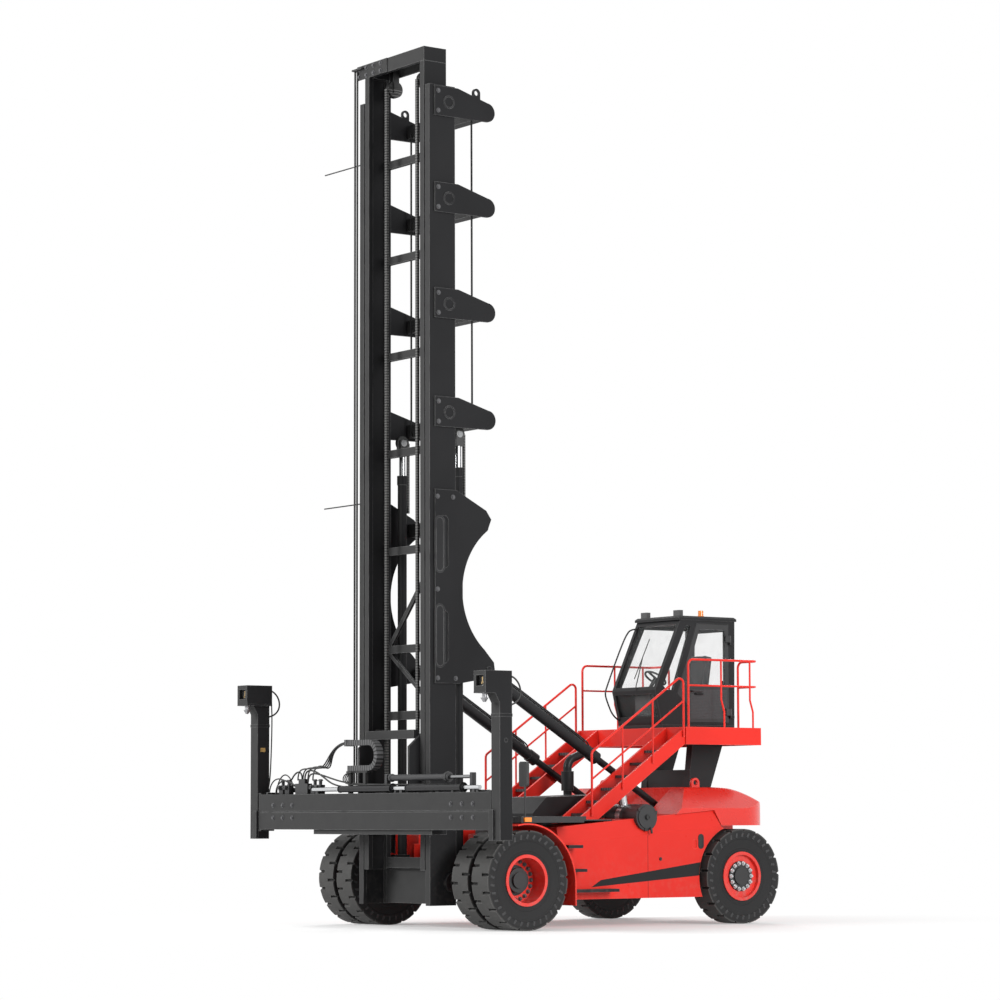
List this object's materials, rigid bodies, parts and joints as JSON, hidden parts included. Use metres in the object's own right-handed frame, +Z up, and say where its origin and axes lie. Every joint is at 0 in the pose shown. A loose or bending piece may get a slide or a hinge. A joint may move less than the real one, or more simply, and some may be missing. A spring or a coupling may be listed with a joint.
{
  "type": "empty container handler",
  "caption": "Mast truck that stacks empty freight containers: telescopic side spreader with twistlocks, tall two-stage mast with tilt, raised cab over a rear counterweight, dual drive wheels.",
  "frame": {"origin": "on the ground under the middle of the whole machine", "axes": "+Z up along the mast, front towards -Y, the machine's left towards +X"},
  "size_m": [6.128, 6.45, 12.245],
  "materials": {
    "red_paint": "satin",
    "charcoal_paint": "satin",
    "black_paint": "satin",
    "cast_block": "matte",
    "black_plastic": "matte",
    "tinted_glass": "gloss",
    "seat_fabric": "matte",
    "amber_plastic": "gloss",
    "chain_steel": "oiled",
    "hose_rubber": "matte",
    "chrome_rod": "polished",
    "lock_steel": "machined",
    "tyre_rubber": "matte"
  },
  "bodies": {
    "chassis": {"chassis_frame": "red_paint", "drive_axle": "black_paint", "steer_axle": "black_paint", "side_bodies": "red_paint", "counterweight": "red_paint", "ballast_block": "red_paint", "fenders": "red_paint", "side_steps": "black_paint", "stair_treads": "black_paint", "engine_block": "cast_block", "engine_hood": "black_paint", "deck_plates": "black_paint", "air_cleaner": "black_plastic", "exhaust": "black_paint", "stair_stringers": "red_paint", "platform": "red_paint", "handrails": "red_paint", "cab_pillar": "black_paint", "cab_base": "black_paint", "cab_frame": "black_paint", "cab_roof": "black_paint", "cab_glass": "tinted_glass", "cab_seat": "seat_fabric", "cab_console": "black_plastic", "mirrors": "black_plastic", "lamps": "amber_plastic"},
    "cab_door": {"cab_door": "black_paint", "door_glass": "tinted_glass"},
    "mast": {"mast_outer_left": "charcoal_paint", "mast_outer_right": "charcoal_paint", "mast_horns": "charcoal_paint", "mast_outer_ties": "charcoal_paint", "lift_barrels": "charcoal_paint"},
    "inner_mast": {"mast_inner_left": "charcoal_paint", "mast_inner_right": "charcoal_paint", "mast_inner_ties": "charcoal_paint", "lift_chains": "chain_steel", "mast_hoses": "hose_rubber"},
    "lift_rods": {"lift_rods": "chrome_rod"},
    "carriage": {"carriage": "charcoal_paint"},
    "spreader": {"spreader_beam": "charcoal_paint", "spreader_gear": "charcoal_paint", "energy_chain": "black_plastic"},
    "arm_left": {"spreader_arm_left": "charcoal_paint"},
    "arm_right": {"spreader_arm_right": "charcoal_paint"},
    "lock_left": {"twistlock_left": "lock_steel"},
    "lock_right": {"twistlock_right": "lock_steel"},
    "tilt_barrels": {"tilt_barrels": "charcoal_paint"},
    "tilt_rods": {"tilt_rods": "chrome_rod"},
    "drive_wheels_left": {"drive_tyres_left": "tyre_rubber", "drive_rims_left": "red_paint"},
    "steer_wheel_left": {"steer_tyre_left": "tyre_rubber", "steer_rim_left": "red_paint"},
    "knuckle_left": {"knuckle_left": "black_paint"},
    "drive_wheels_right": {"drive_tyres_right": "tyre_rubber", "drive_rims_right": "red_paint"},
    "steer_wheel_right": {"steer_tyre_right": "tyre_rubber", "steer_rim_right": "red_paint"},
    "knuckle_right": {"knuckle_right": "black_paint"}
  },
  "joints": [
    {"name": "mast_tilt", "type": "hinge", "parent": "chassis", "child": "mast", "pos_m": [0, -2.215, 0.64], "axis": [1, 0, 0], "range_deg": [-5, 3]},
    {"name": "tilt_barrel", "type": "hinge", "parent": "mast", "child": "tilt_barrels", "pos_m": [0, -1.595, 3.558], "axis": [1, 0, 0], "range_deg": [-5, 5]},
    {"name": "tilt_rod", "type": "slide", "parent": "tilt_barrels", "child": "tilt_rods", "axis": [0, 0.8564, -0.5162], "range_m": [-0.3, 0.3]},
    {"name": "mast_lift", "type": "slide", "parent": "mast", "child": "inner_mast", "axis": [0, 0, 1], "range_m": [-0.25, 8.8]},
    {"name": "lift_rod", "type": "slide", "parent": "mast", "child": "lift_rods", "axis": [0, 0, 1], "range_m": [-0.13, 4.41]},
    {"name": "carriage_lift", "type": "slide", "parent": "inner_mast", "child": "carriage", "axis": [0, 0, 1], "range_m": [-0.26, 8.81]},
    {"name": "side_shift", "type": "slide", "parent": "carriage", "child": "spreader", "axis": [1, 0, 0], "range_m": [-0.6, 0.6]},
    {"name": "telescope_left", "type": "slide", "parent": "spreader", "child": "arm_left", "axis": [1, 0, 0], "range_m": [0, 3.066]},
    {"name": "telescope_right", "type": "slide", "parent": "spreader", "child": "arm_right", "axis": [-1, 0, 0], "range_m": [-0.001, 3.067]},
    {"name": "lock_turn_left", "type": "hinge", "parent": "arm_left", "child": "lock_left", "pos_m": [2.9265, -3.144, 3.1], "axis": [0, 0, 1], "range_deg": [0, 90]},
    {"name": "lock_turn_right", "type": "hinge", "parent": "arm_right", "child": "lock_right", "pos_m": [-2.9265, -3.144, 3.1], "axis": [0, 0, 1], "range_deg": [-0.5, 90.5]},
    {"name": "cab_door_swing", "type": "hinge", "parent": "chassis", "child": "cab_door", "pos_m": [0.529, 3.091, 3.5], "axis": [0, 0, 1], "range_deg": [0, 40]},
    {"name": "drive_roll_left", "type": "hinge", "parent": "chassis", "child": "drive_wheels_left", "pos_m": [1.641, -1.795, 0.672], "axis": [1, 0, 0], "continuous": true},
    {"name": "steer_left", "type": "hinge", "parent": "chassis", "child": "knuckle_left", "pos_m": [1.27, 2.305, 0.672], "axis": [0, 0, 1], "range_deg": [-60, 60]},
    {"name": "steer_roll_left", "type": "hinge", "parent": "knuckle_left", "child": "steer_wheel_left", "pos_m": [1.51, 2.305, 0.672], "axis": [1, 0, 0], "continuous": true},
    {"name": "drive_roll_right", "type": "hinge", "parent": "chassis", "child": "drive_wheels_right", "pos_m": [-1.641, -1.795, 0.672], "axis": [1, 0, 0], "continuous": true},
    {"name": "steer_right", "type": "hinge", "parent": "chassis", "child": "knuckle_right", "pos_m": [-1.27, 2.305, 0.672], "axis": [0, 0, 1], "range_deg": [-60.5, 60.5]},
    {"name": "steer_roll_right", "type": "hinge", "parent": "knuckle_right", "child": "steer_wheel_right", "pos_m": [-1.51, 2.305, 0.672], "axis": [1, 0, 0], "continuous": true}
  ],
  "couplings": [
    {"joint": "tilt_barrel", "follows": "mast_tilt", "ratio": -0.75133},
    {"joint": "tilt_rod", "follows": "mast_tilt", "m_per_rad": 2.8353},
    {"joint": "lift_rod", "follows": "mast_lift", "ratio": 0.5},
    {"joint": "carriage_lift", "follows": "mast_lift", "ratio": 1},
    {"joint": "telescope_right", "follows": "telescope_left", "ratio": 1},
    {"joint": "lock_turn_right", "follows": "lock_turn_left", "ratio": 1},
    {"joint": "steer_right", "follows": "steer_left", "ratio": 1}
  ]
}
